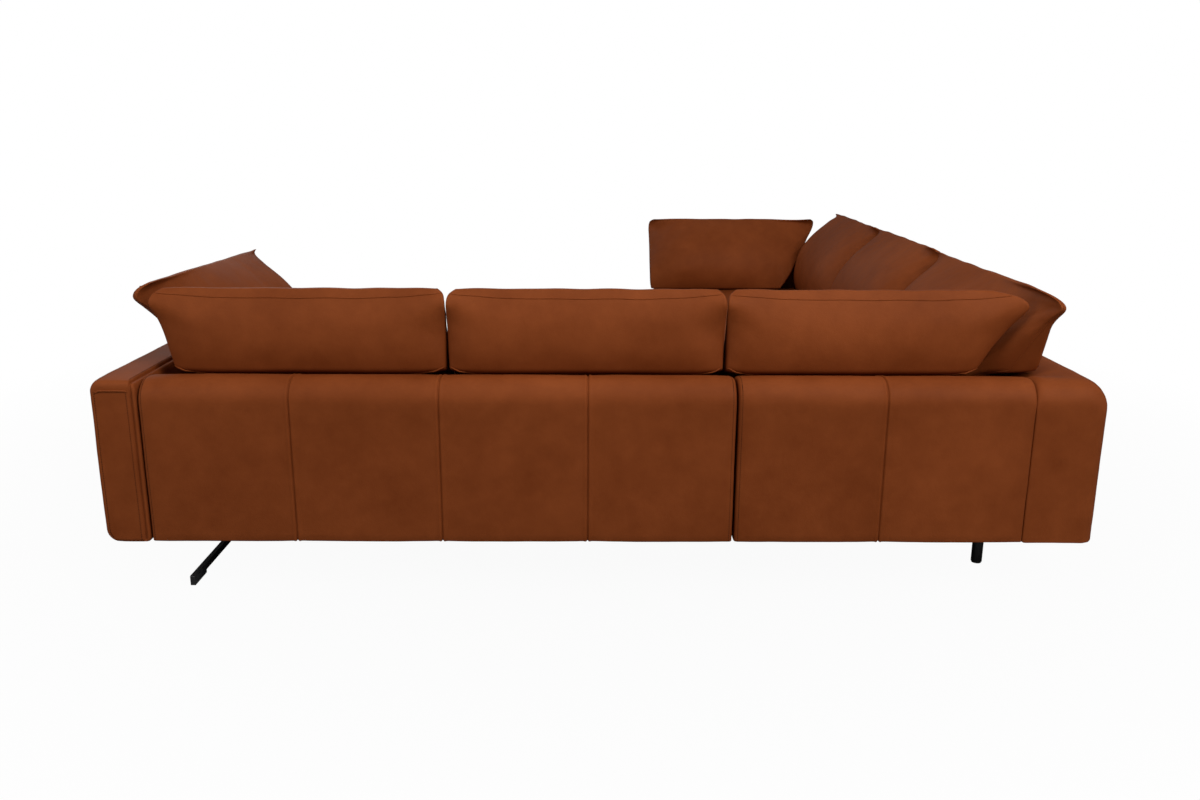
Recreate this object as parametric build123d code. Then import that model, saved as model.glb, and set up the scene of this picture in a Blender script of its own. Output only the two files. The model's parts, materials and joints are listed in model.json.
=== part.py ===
from build123d import *
import os
from dataclasses import dataclass
from math import copysign, cos, radians, sin, sqrt

# Corner sofa in leather: a two-seat module with an arm, a corner module and a second two-seat
# module with an arm, standing on black metal legs, with loose back and arm cushions.
# Millimetres, +Z up, origin on the floor below the middle of the plan.
# Each run is drawn in its own frame: X along the run, Y from the outer face of the back or arm
# towards the front, Z up from the floor.

# Plan and heights
seat_width = 800
seat_count = 2
run_depth = 1070
back_thickness = 200
arm_width = 120
arm_gap = 4
module_gap = 6
underside = 150
back_top = 604
seat_top = 466

# Upholstered covers of the backs and arms
cover_wall = 22
cover_top_wall = 36
back_rear_radius = 60
back_inner_radius = 60
back_corner_radius = 30
arm_edge_radius = 25
arm_foot_radius = 35
cover_end_radius = 8
seam_gap = 0.5
frame_gap = 0.5

# Wooden frames, seat suspension and underside cloth
board = 28
rail_height = 138
plank_width = 76
plank_thickness = 25
back_post = 40
back_rail = 30
dust_cloth = 1.5
strap_width = 60
strap_thickness = 3
straps_along = 6
straps_across = 5
strap_bearing = 18

# Seat cushions and the padded border below them
seat_gap = 4
seat_overhang = 8
border_thickness = 20
border_edge_radius = 8
seat_crown = 12
seat_edge_radius = 30
seat_front_radius = 45
seat_flat_depth = 240
seat_draw_in = 6
soft_gap = 0.5

# Loose cushions: lean of the rear face, sizes, the places and slants of their upper corners, and
# the share of their length over which a face falls away towards an end
cushion_lean = 36
main_cushion_height = 363
return_cushion_height = 376
main_arm_cushion_height = 362
return_arm_cushion_height = 336
ear_share = 0.885
cushion_gap = 8
cushion_rear_room = 3
rear_end_run = 0.12
end_run = 0.27
corner_end_run = 0.68
main_end_slant = 0.23
middle_cushion_shift = 8
corner_cushion_overlap = 24
corner_ear_inset = 72
corner_side_ear_inset = 192
corner_end_slant = 0.66
arm_cushion_width = 840
main_arm_cushion_inset = 190
main_arm_cushion_slant = 0.76
main_arm_cushion_turn = 3.5
return_arm_cushion_inset = 262
return_arm_cushion_slant = 0.62

# One row per level of a loose cushion, from its base to its top edge: share of the height, set-back
# of the rear face from the leaning line, thickness in the middle, rearward shift and thickness of
# the ends, and how far a square end and an end with a low corner are drawn in
cushion_levels = [
    (0.00, 0, 88, 2, 60, 6, 12),
    (0.08, 2, 124, 0, 65, 3, 6),
    (0.17, 3, 156, 1, 66, 2, 4),
    (0.26, 4, 183, 6, 63, 1, 6),
    (0.35, 4, 204, 14, 56, 1, 8),
    (0.43, 5, 214, 21, 48, 1, 9),
    (0.51, 8, 218, 28, 40, 1, 10),
    (0.61, 22, 207, 36, 34, 1, 8),
    (0.72, 46, 179, 46, 28, 1, 6),
    (0.80, 67, 147, 52, 24, 0, 3),
    (0.88, 92, 104, 53, 20, 0, 0),
    (0.93, 112, 73, 41, 17, 1, 9),
    (0.97, 132, 42, 22, 14, 4, 34),
    (1.00, 152, 14, 0, 8, 22, 100),
]

# Sled leg of flat bar, and round support legs
sled_inset = 207
sled_bar = 13
sled_bar_height = 20
sled_end_inset = 40
sled_pad_height = 9
sled_pad_length = 92
sled_corner_radius = 3
sled_upright = 40
sled_upright_spacing = 240
leg_plate = 4
sled_plate_width = 60
sled_plate_length = 400
leg_diameter = 32
leg_wall = 2.5
leg_flange_diameter = 70
glide_height = 4
glide_stem = 18
glide_diameter = 28
glide_fit = 0.2
leg_module_inset = 90
leg_rear_inset = 450
leg_front_inset = 110
corner_leg_inset = 235
corner_leg_rear_inset = 218

# Link plates between modules and the bolts that hold the arms
link_length = 100
link_width = 40
link_thickness = 3
link_rear_inset = 330
link_front_inset = 190
bolt_diameter = 8
bolt_head_diameter = 16
bolt_head_height = 6
bolt_hole_clearance = 1
bolt_height = 220
bolt_grip = 60
bolt_rear_room = 60

# Extra length of a cut, so that it runs clear through
cut_through = 1

# Worked out from the driving dimensions
corner_width = seat_width + back_thickness
module_length = seat_count * seat_width
overall_x = arm_width + arm_gap + module_length + module_gap + corner_width
overall_y = run_depth + module_gap + module_length + arm_gap + arm_width
main_start = arm_width + arm_gap
corner_start = main_start + module_length + module_gap
return_start = run_depth + module_gap
frame_bottom = underside + dust_cloth
rail_top = frame_bottom + rail_height
deck_top = rail_top + 2 * strap_thickness
base_rear = back_thickness - cover_wall
base_front = run_depth - seat_overhang - border_thickness
frame_depth = back_thickness - 2 * cover_wall

# Places of the runs in the common frame
main_run = Location((overall_x / 2, overall_y / 2, 0), (0, 0, 180))
return_run = Location((-overall_x / 2, overall_y / 2, 0), (0, 0, -90))
main_arm_run = Location((overall_x / 2, overall_y / 2 - run_depth, 0), (0, 0, 90))
return_arm_run = Location((-overall_x / 2, -overall_y / 2, 0))


def save(name, place, solids):
    """Write one node, its solids moved from their run to the common frame."""
    export_step(Compound([place * solid for solid in solids]), f"parts/{name}.step")


def block(x0, x1, y0, y1, z0, z1):
    """Rectangular board between two corners."""
    middle = Pos((x0 + x1) / 2, (y0 + y1) / 2, (z0 + z1) / 2)
    return (middle * Box(x1 - x0, y1 - y0, z1 - z0)).solid()


def upright_profile(width, low, high, outer_radius, inner_radius):
    """Section of a back or arm across its thickness, with rounded top edges."""
    outline = Pos(width / 2, (low + high) / 2) * Rectangle(width, high - low)
    top_outer = outline.vertices().group_by(Axis.Y)[-1].sort_by(Axis.X)[0]
    outline = fillet(top_outer, outer_radius)
    top_inner = outline.vertices().group_by(Axis.Y)[-1].sort_by(Axis.X)[-1]
    return fillet(top_inner, inner_radius)


def swept_cover(section, length):
    """Section of a back or arm swept along its run, its end edges rounded above the underside."""
    body = extrude(Plane.YZ * section, length)
    rounded = []
    for face in (body.faces().sort_by(Axis.X)[0], body.faces().sort_by(Axis.X)[-1]):
        rounded += [edge for edge in face.edges() if edge.center().Z > underside + cut_through]
    return fillet(rounded, cover_end_radius)


# Backs and arms

def cavity(length, width):
    """Room for the frame: closed at the ends, open below and towards the seat base."""
    low = underside - cut_through
    room = block(cover_wall, length - cover_wall, cover_wall, width - cover_wall,
                 low, back_top - cover_top_wall)
    mouth = block(-cut_through, length + cut_through, base_rear, width + cut_through, low, deck_top)
    return room.fuse(mouth)


def back_cover(length):
    """Padded leather cover of a straight back, hooked over its frame."""
    section = upright_profile(back_thickness, underside, back_top, back_rear_radius, back_inner_radius)
    return (swept_cover(section, length) - cavity(length, back_thickness)).solid()


def corner_side_cover():
    """Cover of the corner's side back, whose rounded top turns the corner onto the rear face."""
    section = upright_profile(back_thickness, underside, back_top, back_rear_radius, back_inner_radius)
    end_section = upright_profile(run_depth, underside, back_top, back_rear_radius, cover_end_radius)
    outside = extrude(Plane.YZ * section, run_depth)
    outside &= extrude(Plane.XZ * end_section, -back_thickness)
    plan = Pos(run_depth / 2, back_thickness / 2) * Rectangle(run_depth, back_thickness)
    outer_corner = plan.vertices().sort_by(lambda v: v.X + v.Y)[0]
    outside &= extrude(fillet(outer_corner, back_corner_radius), back_top + cut_through)
    low = underside - cut_through
    room = block(back_thickness, run_depth - cover_wall, cover_wall, back_thickness - cover_wall,
                 low, back_top - cover_top_wall)
    mouth = block(base_rear, run_depth + cut_through, base_rear, back_thickness + cut_through, low, deck_top)
    return (outside - room.fuse(mouth)).solid()


def post_frame(start, end, depth_start, depth, posts):
    """Wooden frame in a cover: bottom rail, top rail and posts between them."""
    low = start + frame_gap
    high = end - frame_gap
    rear = depth_start + frame_gap
    front = depth_start + depth
    top = back_top - cover_top_wall - frame_gap
    pieces = [block(low, high, rear, front, frame_bottom, frame_bottom + back_rail)]
    pieces.append(block(low, high, rear, front, top - back_rail, top))
    pitch = (high - low - back_post) / (posts - 1)
    for i in range(posts):
        x = low + i * pitch
        pieces.append(block(x, x + back_post, rear, front, frame_bottom + back_rail, top - back_rail))
    return pieces


def arm_cover(holes):
    """Padded leather cover of an arm, rounded along its top and its lower outer edge."""
    section = upright_profile(arm_width, underside, back_top, arm_edge_radius, arm_edge_radius)
    lower_outer = section.vertices().group_by(Axis.Y)[0].sort_by(Axis.X)[0]
    section = fillet(lower_outer, arm_foot_radius)
    outside = swept_cover(section, run_depth)
    room = block(cover_wall, run_depth - cover_wall, cover_wall, arm_width - cover_wall,
                 underside + cover_wall, back_top - cover_top_wall)
    return (outside - room - holes).solid()


def arm_frame(holes):
    """Wooden frame of an arm, drilled for its bolts."""
    low = cover_wall + frame_gap
    high = run_depth - cover_wall - frame_gap
    rear = cover_wall + frame_gap
    front = arm_width - cover_wall - frame_gap
    bottom = underside + cover_wall + frame_gap
    top = back_top - cover_top_wall - frame_gap
    pieces = [block(low, high, rear, front, bottom, bottom + back_rail)]
    pieces.append(block(low, high, rear, front, top - back_rail, top))
    end_posts = [low + back_post / 2, high - back_post / 2]
    for x in end_posts + bolt_places():
        post = block(x - back_post / 2, x + back_post / 2, rear, front, bottom + back_rail, top - back_rail)
        pieces.append((post - holes).solid())
    return pieces


def arm_bolts(radius, head_radius):
    """Bolts through the base's end rail and the arm's inner side into the arm's posts."""
    bolts = []
    for x in bolt_places():
        axis = Plane((x, arm_width + board, bolt_height), z_dir=(0, -1, 0))
        shank = axis * Cylinder(radius, bolt_grip, align=(Align.CENTER, Align.CENTER, Align.MIN))
        if head_radius:
            head = axis * Cylinder(head_radius, bolt_head_height, align=(Align.CENTER, Align.CENTER, Align.MAX))
            shank = shank + head
        bolts.append(shank.solid())
    return bolts


def bolt_places():
    """Places along an arm of its bolts, clear of the back at either end."""
    inset = back_thickness + board + bolt_rear_room
    return [inset, run_depth / 2, run_depth - inset]


# Seat bases

def base_frame(start, end, front, leg_lines, middle_rails):
    """Rails of a seat base with the planks that carry the legs."""
    low = frame_bottom
    rails = [block(start, end, base_rear, base_rear + board, low, rail_top)]
    rails.append(block(start, end, front - board, front, low, rail_top))
    inner_rear = base_rear + board
    inner_front = front - board
    rails.append(block(start, start + board, inner_rear, inner_front, low, rail_top))
    rails.append(block(end - board, end, inner_rear, inner_front, low, rail_top))
    for x in middle_rails:
        rails.append(block(x - board / 2, x + board / 2, inner_rear, inner_front, low, rail_top))
    for x in leg_lines:
        rails.append(block(x - plank_width / 2, x + plank_width / 2, inner_rear, inner_front,
                           low, low + plank_thickness))
    return rails


def webbing(starts, front):
    """Elastic straps from rail to rail, one layer each way, for each seat in a base."""
    straps = []
    rear_end = base_rear + board - strap_bearing
    front_end = front - board + strap_bearing
    for start in starts:
        for i in range(straps_along):
            x = start + seat_width * (i + 0.5) / straps_along
            straps.append(block(x - strap_width / 2, x + strap_width / 2, rear_end, front_end,
                                rail_top, rail_top + strap_thickness))
        for i in range(straps_across):
            y = rear_end + (front_end - rear_end) * (i + 0.5) / straps_across
            straps.append(block(start + strap_width / 2, start + seat_width - strap_width / 2,
                                y - strap_width / 2, y + strap_width / 2,
                                rail_top + strap_thickness, deck_top))
    return straps


def dust_cover(start, end, front):
    """Thin cloth that closes the underside of a base."""
    return block(start, end, base_rear, front, underside, frame_bottom)


def front_border(start, end):
    """Padded leather border on the front rail, its lower edge rounded."""
    low = underside
    outline = Pos((base_front + border_thickness / 2), (low + rail_top) / 2) \
        * Rectangle(border_thickness, rail_top - low)
    front_edges = outline.vertices().group_by(Axis.X)[-1]
    outline = fillet(front_edges, border_edge_radius)
    return Pos(start, 0, 0) * extrude(Plane.YZ * outline, end - start).solid()


# Seat cushions

def seat_crown_at(offset):
    """Height of a seat cushion's top at a distance from its middle, across the seat."""
    half_chord = seat_width / 2 - seat_gap / 2 - seat_edge_radius
    radius = half_chord ** 2 / (2 * seat_crown) + seat_crown / 2
    return seat_top + seat_crown - radius + sqrt(radius ** 2 - offset ** 2)


def seat_across_profile():
    """Seat cushion seen from the front: rounded shoulders and a crowned top."""
    half = seat_width / 2 - seat_gap / 2
    low = deck_top + soft_gap
    shoulder = seat_top - seat_edge_radius
    flat = half - seat_edge_radius
    slant = seat_edge_radius * (1 - sqrt(0.5))
    outline = [
        Line((-half, low), (half, low)),
        Line((half, low), (half, shoulder)),
        ThreePointArc((half, shoulder), (half - slant, seat_top - slant), (flat, seat_top)),
        ThreePointArc((flat, seat_top), (0, seat_top + seat_crown), (-flat, seat_top)),
        ThreePointArc((-flat, seat_top), (-half + slant, seat_top - slant), (-half, shoulder)),
        Line((-half, shoulder), (-half, low)),
    ]
    return make_face(outline)


def seat_along_profile():
    """Seat cushion seen from its side: flat below the back cushions, crowned, round in front."""
    rear = back_thickness + seat_gap / 2
    low = deck_top + soft_gap
    flat_end = rear + seat_flat_depth
    round_start = run_depth - seat_front_radius
    slant = seat_front_radius * (1 - sqrt(0.5))
    crown_place = ((flat_end + round_start) / 2, seat_top + seat_crown)
    outline = [
        Line((rear, low), (run_depth, low)),
        Line((run_depth, low), (run_depth, seat_top - seat_front_radius)),
        ThreePointArc((run_depth, seat_top - seat_front_radius),
                      (run_depth - slant, seat_top - slant), (round_start, seat_top)),
        ThreePointArc((round_start, seat_top), crown_place, (flat_end, seat_top)),
        Line((flat_end, seat_top), (rear, seat_top)),
        Line((rear, seat_top), (rear, low)),
    ]
    return make_face(outline)


def seat_plan():
    """Seat cushion from above, its sides drawn in a little between the corners."""
    half = seat_width / 2 - seat_gap / 2
    rear = back_thickness + seat_gap / 2
    middle = (rear + run_depth) / 2
    inset = seat_draw_in
    outline = [
        Line((-half, rear), (half, rear)),
        ThreePointArc((half, rear), (half - inset, middle), (half, run_depth)),
        ThreePointArc((half, run_depth), (0, run_depth - inset), (-half, run_depth)),
        ThreePointArc((-half, run_depth), (-half + inset, middle), (-half, rear)),
    ]
    face = make_face(outline)
    front_corners = face.vertices().group_by(Axis.Y)[-1]
    return fillet(front_corners, seat_edge_radius)


def seat_cushion(start):
    """Crowned seat cushion of one seat, from where the seat starts along its run."""
    cushion = extrude(Plane.XZ * seat_across_profile(), -(run_depth + cut_through))
    cushion &= Pos(-seat_width / 2, 0, 0) * extrude(Plane.YZ * seat_along_profile(), seat_width)
    cushion &= extrude(seat_plan(), seat_top + seat_crown + cut_through)
    return Pos(start + seat_width / 2, 0, 0) * cushion.solid()


# Loose cushions

def leaning_line(height, thickness, edge_radius):
    """Depth at a height of the line that leans on the rounded inner edge of a back or arm."""
    lean = radians(cushion_lean)
    centre_y = thickness - edge_radius
    centre_z = back_top - edge_radius
    reach = centre_y * cos(lean) + centre_z * sin(lean) + edge_radius + soft_gap + cushion_rear_room
    return (reach - height * sin(lean)) / cos(lean)


@dataclass
class CushionEnd:
    """One end of a loose cushion: place of its upper corner, its slant and its form."""
    ear: float
    slant: float = 0
    low_corner: bool = False
    front_run: float = end_run

    def place(self, level, z, ear_height, inward):
        """Place of the end along the cushion at one level."""
        draw_in = level[6] if self.low_corner else level[5]
        return self.ear + inward * (self.slant * max(ear_height - z, 0) + draw_in)


def falling_arc(end, full, end_depth, full_depth, z):
    """Arc from the end of a cushion that runs smoothly into the straight stretch of its face."""
    run = full - end
    drop = end_depth - full_depth
    radius = (run ** 2 + drop ** 2) / (2 * drop)
    rise = radius - copysign(sqrt(radius ** 2 - (run / 2) ** 2), radius)
    return ThreePointArc((end, end_depth, z), (full - run / 2, full_depth + rise, z), (full, full_depth, z))


def cushion_edge(low, high, end_depth, full_depth, low_run, high_run, z):
    """Edge of one level: straight over the middle, falling away in an arc towards each end."""
    first = low + low_run * (high - low)
    last = high - high_run * (high - low)
    return [
        falling_arc(low, first, end_depth, full_depth, z),
        Line((first, full_depth, z), (last, full_depth, z)),
        falling_arc(high, last, end_depth, full_depth, z),
    ]


def loose_cushion(low_end, high_end, base, height, thickness, edge_radius):
    """Pillow between two ends: full faces, thin ends and a narrow top edge."""
    ear_height = base + ear_share * height
    sections = []
    for level in cushion_levels:
        share, set_back, deep, end_shift, end_deep = level[:5]
        z = base + share * height
        rear = leaning_line(z, thickness, edge_radius) + set_back
        end_middle = rear + deep / 2 - end_shift
        end_rear = end_middle - end_deep / 2
        end_front = end_middle + end_deep / 2
        low = low_end.place(level, z, ear_height, 1)
        high = high_end.place(level, z, ear_height, -1)
        rear_edge = cushion_edge(low, high, end_rear, rear, rear_end_run, rear_end_run, z)
        front_edge = cushion_edge(low, high, end_front, rear + deep, low_end.front_run, high_end.front_run, z)
        ends = [Line((high, end_rear, z), (high, end_front, z)), Line((low, end_front, z), (low, end_rear, z))]
        sections.append(make_face(rear_edge + front_edge + ends))
    return loft(sections, ruled=True).solid()


def back_cushion(low_end, high_end, height, base=seat_top + soft_gap):
    """Loose cushion that leans on a back."""
    return loose_cushion(low_end, high_end, base, height, back_thickness, back_inner_radius)


def arm_cushion(low_end, high_end, height, turned_in=0):
    """Loose cushion that leans on an arm and stands on the crown of the seat beside it."""
    seat_middle = arm_width + arm_gap + seat_width / 2
    base = seat_contact(seat_top, arm_width, arm_edge_radius, seat_middle - turned_in)
    return loose_cushion(low_end, high_end, base, height, arm_width, arm_edge_radius)


def seat_contact(base, thickness, edge_radius, seat_middle):
    """Height at which a cushion set across a seat touches the seat's crown."""
    front = leaning_line(base, thickness, edge_radius) + cushion_levels[0][1] + cushion_levels[0][2]
    return seat_crown_at(seat_middle - front) + soft_gap


# Legs, links

def sled_leg(x):
    """Flat-bar sled: runner above the floor, two uprights and a mounting plate."""
    low = sled_pad_height
    top = low + sled_bar_height
    half = sled_bar / 2
    runner_end = run_depth - sled_end_inset
    runner_length = runner_end - sled_end_inset
    middle = (sled_end_inset + runner_end) / 2
    outline = Pos(middle, (low + top) / 2) * Rectangle(runner_length, sled_bar_height)
    outline = fillet(outline.vertices().group_by(Axis.Y)[-1], sled_corner_radius)
    runner = Pos(x - half, 0, 0) * extrude(Plane.YZ * outline, sled_bar)
    pieces = [runner.solid()]
    plate_low = underside - leg_plate
    for y in (middle - sled_upright_spacing / 2, middle + sled_upright_spacing / 2):
        pieces.append(block(x - half, x + half, y - sled_upright / 2, y + sled_upright / 2, top, plate_low))
    plan = Pos(x, middle) * RectangleRounded(sled_plate_width, sled_plate_length, sled_corner_radius)
    pieces.append((Pos(0, 0, plate_low) * extrude(plan, leg_plate)).solid())
    return pieces


def sled_pads(x):
    """Foot pads below both ends of a sled's runner."""
    pads = []
    for start in (sled_end_inset, run_depth - sled_end_inset - sled_pad_length):
        outline = Pos(start + sled_pad_length / 2, sled_pad_height / 2) \
            * Rectangle(sled_pad_length, sled_pad_height)
        outline = fillet(outline.vertices().group_by(Axis.Y)[0], sled_corner_radius)
        pads.append((Pos(x - sled_bar / 2, 0, 0) * extrude(Plane.YZ * outline, sled_bar)).solid())
    return pads


def round_leg(x, y):
    """Tubular support leg with a flange that screws to the base."""
    outer = leg_diameter / 2
    inner = outer - leg_wall
    flange = leg_flange_diameter / 2
    top = underside
    outline = Polyline((inner, glide_height), (outer, glide_height), (outer, top - leg_plate),
                       (flange, top - leg_plate), (flange, top), (inner, top), close=True)
    return Pos(x, y, 0) * revolve(Plane.XZ * make_face(outline), Axis.Z).solid()


def leg_glide(x, y):
    """Plastic glide: a disc on the floor with a stem in the tube."""
    stem = leg_diameter / 2 - leg_wall - glide_fit
    disc = glide_diameter / 2
    outline = Polyline((0, 0), (disc, 0), (disc, glide_height), (stem, glide_height),
                       (stem, glide_height + glide_stem), (0, glide_height + glide_stem), close=True)
    return Pos(x, y, 0) * revolve(Plane.XZ * make_face(outline), Axis.Z).solid()


def link_plates(x):
    """Steel plates that join two modules below their bases."""
    plates = []
    for y in (link_rear_inset, run_depth - link_front_inset):
        plan = Pos(x, y) * RectangleRounded(link_length, link_width, sled_corner_radius)
        plates.append((Pos(0, 0, underside - link_thickness) * extrude(plan, link_thickness)).solid())
    return plates


def support_places(x):
    """A rear and a front support leg on one line across a base."""
    return [(x, leg_rear_inset), (x, run_depth - leg_front_inset)]


# Modules

def two_seat_module(name, run, start, arm_end, sled_line, leg_line):
    """Base, seats, back, border and legs of a two-seat module."""
    end = start + module_length
    base_start = min(start, arm_end)
    base_end = max(end, arm_end)
    seats = [start + i * seat_width for i in range(seat_count)]
    middles = seats[1:]
    rails = base_frame(base_start, base_end, base_front, [sled_line, leg_line], middles)
    holes = [run.inverse() * bolt for bolt in arm_holes[name]]
    save(f"{name}_base_frame", run, [(rail - holes).solid() for rail in rails])
    save(f"{name}_seat_webbing", run, webbing(seats, base_front))
    save(f"{name}_dust_cover", run, [dust_cover(base_start, base_end, base_front)])
    save(f"{name}_front_border", run, [front_border(base_start, base_end)])
    for i, seat in enumerate(seats):
        save(f"{name}_seat_cushion_{i + 1}", run, [seat_cushion(seat)])
    save(f"{name}_back_cover", run, [Pos(start, 0, 0) * back_cover(module_length)])
    frame = post_frame(start + cover_wall, end - cover_wall, cover_wall, frame_depth, seat_count + 1)
    save(f"{name}_back_frame", run, frame)
    save(f"{name}_sled_leg", run, sled_leg(sled_line))
    save(f"{name}_sled_pads", run, sled_pads(sled_line))
    save(f"{name}_support_legs", run, [round_leg(x, y) for x, y in support_places(leg_line)])


def corner_module():
    """Base, seat, two backs and legs of the corner."""
    start = corner_start
    seat_end = start + seat_width
    base_end = overall_x - base_rear
    inner_line = start + leg_module_inset
    outer_line = overall_x - corner_leg_inset
    save("corner_base_frame", main_run, base_frame(start, base_end, run_depth, [inner_line, outer_line], []))
    save("corner_seat_webbing", main_run, webbing([start], run_depth))
    save("corner_dust_cover", main_run, [dust_cover(start, base_end, run_depth)])
    save("corner_seat_cushion", main_run, [seat_cushion(start)])
    rear_cover = Pos(start, 0, 0) * back_cover(seat_width - seam_gap)
    save("corner_rear_back_cover", main_run, [rear_cover])
    rear_frame = post_frame(start + cover_wall, seat_end - seam_gap - cover_wall, cover_wall, frame_depth, 2)
    save("corner_rear_back_frame", main_run, rear_frame)
    save("corner_side_back_cover", return_run, [corner_side_cover()])
    side_frame = post_frame(back_thickness, run_depth - cover_wall, cover_wall, frame_depth, 3)
    save("corner_side_back_frame", return_run, side_frame)
    save("corner_rear_leg", main_run, [round_leg(outer_line, corner_leg_rear_inset)])
    places = support_places(inner_line) + support_places(outer_line)[1:]
    save("corner_support_legs", main_run, [round_leg(x, y) for x, y in places])


def glides(inner_lines):
    """Glides of all round legs."""
    main_line, return_line = inner_lines
    outer_line = overall_x - corner_leg_inset
    places = support_places(main_line) + support_places(corner_start + leg_module_inset)
    places += support_places(outer_line)[1:] + [(outer_line, corner_leg_rear_inset)]
    pieces = [main_run * leg_glide(x, y) for x, y in places]
    return pieces + [return_run * leg_glide(x, y) for x, y in support_places(return_line)]


def loose_cushions():
    """The six back cushions and the two arm cushions."""
    half_gap = cushion_gap / 2
    first_end = main_start + seat_width + middle_cushion_shift
    second_end = corner_start - corner_cushion_overlap
    save("main_back_cushion_1", main_run, [back_cushion(
        CushionEnd(main_start + cushion_gap, main_end_slant, front_run=corner_end_run),
        CushionEnd(first_end - half_gap), main_cushion_height)])
    save("main_back_cushion_2", main_run, [back_cushion(
        CushionEnd(first_end + half_gap), CushionEnd(second_end - half_gap), main_cushion_height)])
    corner_end = CushionEnd(overall_x - corner_side_ear_inset, corner_end_slant, True, corner_end_run)
    save("corner_back_cushion", main_run, [back_cushion(
        CushionEnd(second_end + half_gap), corner_end, main_cushion_height)])
    side_base = seat_contact(seat_top, back_thickness, back_inner_radius, back_thickness + seat_width / 2)
    clear_height = ear_share * main_cushion_height - (back_top - side_base)
    rear_slant = (back_thickness + cushion_rear_room - corner_ear_inset) / clear_height
    side_end = CushionEnd(corner_ear_inset, rear_slant, True, corner_end_run)
    save("corner_side_cushion", return_run, [back_cushion(
        side_end, CushionEnd(run_depth - half_gap), main_cushion_height, side_base)])
    for i in range(seat_count):
        low = return_start + i * seat_width + half_gap
        save(f"return_back_cushion_{i + 1}", return_run, [back_cushion(
            CushionEnd(low), CushionEnd(low + seat_width - cushion_gap), return_cushion_height)])
    ear_high = run_depth - main_arm_cushion_inset
    turned = Location((ear_high, arm_width, 0), (0, 0, -main_arm_cushion_turn)) * Pos(-ear_high, -arm_width, 0)
    turned_in = arm_cushion_width * sin(radians(main_arm_cushion_turn))
    near_end = CushionEnd(ear_high, main_arm_cushion_slant, front_run=corner_end_run)
    save("main_arm_cushion", main_arm_run, [turned * arm_cushion(
        CushionEnd(ear_high - arm_cushion_width), near_end, main_arm_cushion_height, turned_in)])
    ear_low = return_arm_cushion_inset
    inner_end = CushionEnd(ear_low, return_arm_cushion_slant, front_run=corner_end_run)
    save("return_arm_cushion", return_arm_run, [arm_cushion(
        inner_end, CushionEnd(ear_low + arm_cushion_width), return_arm_cushion_height)])


os.makedirs("parts", exist_ok=True)

hole_radius = (bolt_diameter + bolt_hole_clearance) / 2
local_holes = arm_bolts(hole_radius, 0)
arm_places = {"main": main_arm_run, "return": return_arm_run}
arm_holes = {name: [place * hole for hole in local_holes] for name, place in arm_places.items()}
for name, place in arm_places.items():
    save(f"{name}_arm_cover", place, [arm_cover(local_holes)])
    save(f"{name}_arm_frame", place, arm_frame(local_holes))
    save(f"{name}_arm_bolts", place, arm_bolts(bolt_diameter / 2, bolt_head_diameter / 2))

main_leg_line = main_start + module_length - leg_module_inset
return_leg_line = return_start + leg_module_inset
two_seat_module("main", main_run, main_start, arm_width, sled_inset, main_leg_line)
two_seat_module("return", return_run, return_start, overall_y - arm_width, overall_y - sled_inset,
                return_leg_line)
corner_module()
loose_cushions()
save("leg_glides", Location(), glides([main_leg_line, return_leg_line]))
save("main_corner_links", main_run, link_plates(corner_start - module_gap / 2))
save("corner_return_links", return_run, link_plates(return_start - module_gap / 2))
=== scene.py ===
import json
import math

import bpy
import numpy as np
from mathutils import Matrix, Vector, noise
from mathutils.bvhtree import BVHTree

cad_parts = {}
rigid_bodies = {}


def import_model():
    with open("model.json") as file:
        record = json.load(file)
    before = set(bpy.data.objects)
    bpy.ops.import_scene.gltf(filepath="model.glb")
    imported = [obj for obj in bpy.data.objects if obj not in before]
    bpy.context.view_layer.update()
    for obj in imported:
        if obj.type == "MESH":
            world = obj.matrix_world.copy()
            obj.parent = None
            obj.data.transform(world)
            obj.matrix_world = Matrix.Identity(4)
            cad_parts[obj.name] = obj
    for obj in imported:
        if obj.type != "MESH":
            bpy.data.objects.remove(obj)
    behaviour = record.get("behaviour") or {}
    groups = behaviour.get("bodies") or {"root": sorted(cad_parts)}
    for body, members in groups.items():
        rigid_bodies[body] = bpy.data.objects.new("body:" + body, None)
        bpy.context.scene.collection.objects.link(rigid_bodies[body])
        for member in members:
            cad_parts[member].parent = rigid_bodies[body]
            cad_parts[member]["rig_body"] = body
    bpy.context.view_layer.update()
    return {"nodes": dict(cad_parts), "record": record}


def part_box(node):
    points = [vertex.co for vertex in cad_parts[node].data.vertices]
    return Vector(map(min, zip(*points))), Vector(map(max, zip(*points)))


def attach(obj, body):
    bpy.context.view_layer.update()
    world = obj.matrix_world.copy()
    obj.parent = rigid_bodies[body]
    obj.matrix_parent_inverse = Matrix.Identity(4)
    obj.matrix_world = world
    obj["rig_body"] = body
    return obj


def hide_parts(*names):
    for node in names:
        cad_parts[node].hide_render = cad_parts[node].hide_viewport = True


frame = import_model()
nodes = frame["nodes"]

# Directions of the runs: along the run, and inward from the outer face of its back or arm
MAIN = ((-1, 0, 0), (0, -1, 0))
RETURN = ((0, -1, 0), (1, 0, 0))
MAIN_ARM = ((0, 1, 0), (-1, 0, 0))
RETURN_ARM = ((1, 0, 0), (0, 1, 0))

# Leather colours, linear
LEATHER_DARK = (0.150, 0.0315, 0.0062, 1)
LEATHER_LIGHT = (0.222, 0.0520, 0.0125, 1)
# Painted highlight: paler colour laid on convex edges and seam lips, where light catches the rounded
# leather
LEATHER_EDGE_HIGHLIGHT = (0.29, 0.068, 0.011, 1)
THREAD = (0.014, 0.004, 0.002, 1)
BLACK = (0.006, 0.006, 0.0065, 1)
BLACK_WORN = (0.013, 0.013, 0.014, 1)

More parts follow.
